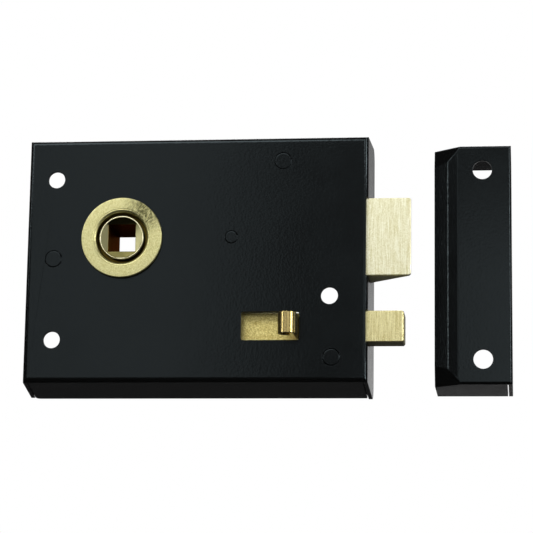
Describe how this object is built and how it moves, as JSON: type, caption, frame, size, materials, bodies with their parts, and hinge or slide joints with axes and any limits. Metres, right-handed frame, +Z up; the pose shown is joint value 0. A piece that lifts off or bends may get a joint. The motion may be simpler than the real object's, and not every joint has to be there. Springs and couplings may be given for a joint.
{
  "type": "rim box lock",
  "caption": "Surface-fixed rim latch: a spindle follower draws back a bevelled spring latch, a thumb slide throws a privacy snib, and a separate box keep receives them.",
  "frame": {"origin": "axis of the spindle, on the plane of the door face that the case is screwed to", "axes": "+X towards the fore-end and the bolts, +Y into the door, away from the front of the case, +Z up"},
  "size_m": [0.1453, 0.0343, 0.0771],
  "materials": {
    "black_enamel": "satin baked enamel with fine orange peel",
    "riveted_steel": "turned steel, front ends enamelled with the case",
    "zinc_steel": "bright zinc plate on pressed steel",
    "screw_steel": "zinc plated cheese-head screws",
    "bright_steel": "bright drawn steel",
    "spring_steel": "oiled spring steel",
    "bush_brass": "turned, satin",
    "follower_brass": "cast and turned",
    "bolt_brass": "linished, upright grain",
    "slide_brass": "pressed, fine granular",
    "rivet_brass": "filed flush",
    "thumb_brass": "rolled and polished"
  },
  "bodies": {
    "case": {"case_shell": "black_enamel", "back_plate": "zinc_steel", "back_plate_screws": "screw_steel", "pillar_left": "riveted_steel", "pillar_top": "riveted_steel", "pillar_lower": "riveted_steel", "spindle_bush": "bush_brass", "guide_post": "riveted_steel", "latch_spring": "spring_steel", "snib_stud": "bright_steel", "detent_spring": "spring_steel", "keep": "black_enamel"},
    "follower": {"follower": "follower_brass"},
    "latch": {"latch_head": "bolt_brass", "latch_rod": "bright_steel", "latch_pin": "bright_steel", "latch_yoke": "zinc_steel"},
    "snib": {"snib_bolt": "bolt_brass", "snib_slide": "slide_brass", "snib_rivets": "rivet_brass", "thumb_piece": "thumb_brass"}
  },
  "joints": [
    {"name": "handle_turn", "type": "hinge", "parent": "case", "child": "follower", "pos_m": [0, 0, 0], "axis": [0, 1, 0], "range_deg": [0, 41.5]},
    {"name": "latch_slide", "type": "slide", "parent": "case", "child": "latch", "axis": [-1, 0, 0], "range_m": [0, 0.0123], "stiffness_N_per_m": 350, "springref_m": -0.012, "deforming": ["latch_spring"]},
    {"name": "snib_slide", "type": "slide", "parent": "case", "child": "snib", "axis": [-1, 0, 0], "range_m": [0, 0.0105], "deforming": ["detent_spring"]}
  ],
  "couplings": [
    {"joint": "handle_turn", "follows": "latch_slide", "rad_per_m": 58.887}
  ]
}
